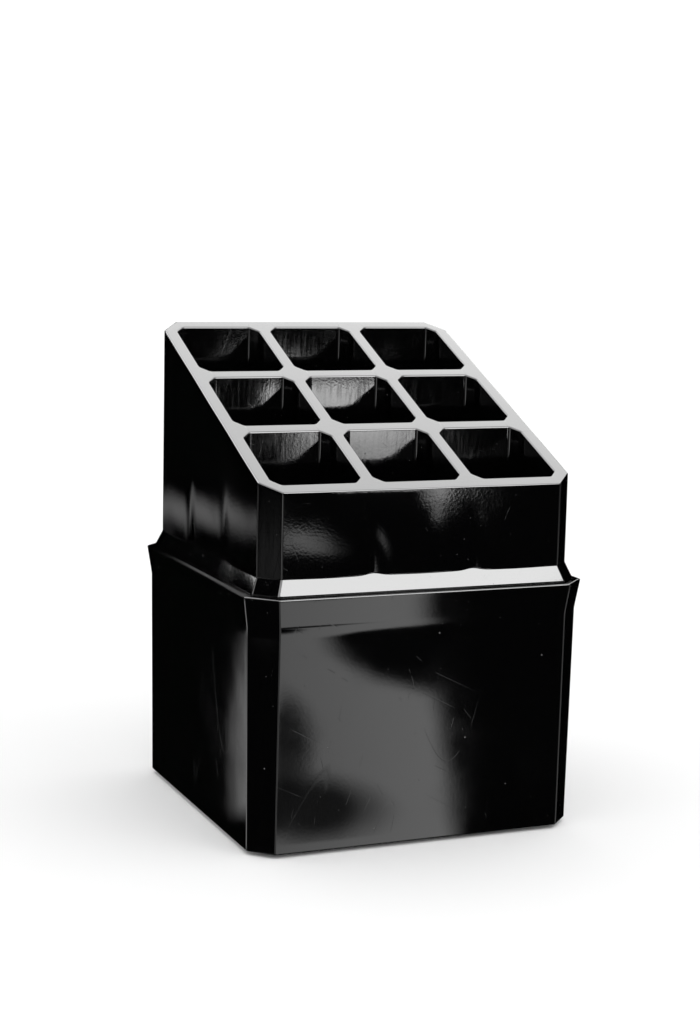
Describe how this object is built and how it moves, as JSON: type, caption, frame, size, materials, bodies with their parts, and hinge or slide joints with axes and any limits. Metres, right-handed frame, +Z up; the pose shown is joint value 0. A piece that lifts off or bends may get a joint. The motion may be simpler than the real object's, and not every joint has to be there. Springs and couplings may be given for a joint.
{
  "type": "nine-cell desk organizer",
  "caption": "Open square box with a lift-off rack of cells on top: cut corners, sloping top, cells deeper towards the back.",
  "frame": {"origin": "on the table, under the middle of the box", "axes": "+Z up, X across the width, -Y towards the low front of the rack"},
  "size_m": [0.0936, 0.0936, 0.1279],
  "materials": {
    "box_plastic": "polished black styrene, with fine scratches and dust",
    "rack_plastic": "polished black styrene, with fine scratches and dust",
    "foot_rubber": "matt black soft pad"
  },
  "bodies": {
    "box": {"base_box": "box_plastic", "foot_front_left": "foot_rubber", "foot_front_right": "foot_rubber", "foot_back_left": "foot_rubber", "foot_back_right": "foot_rubber"},
    "rack": {"nine_cell_rack": "rack_plastic"}
  },
  "joints": [
    {"name": "rack_lift", "type": "slide", "parent": "box", "child": "rack", "axis": [0, 0, 1], "range_m": [0, 0.06]}
  ]
}
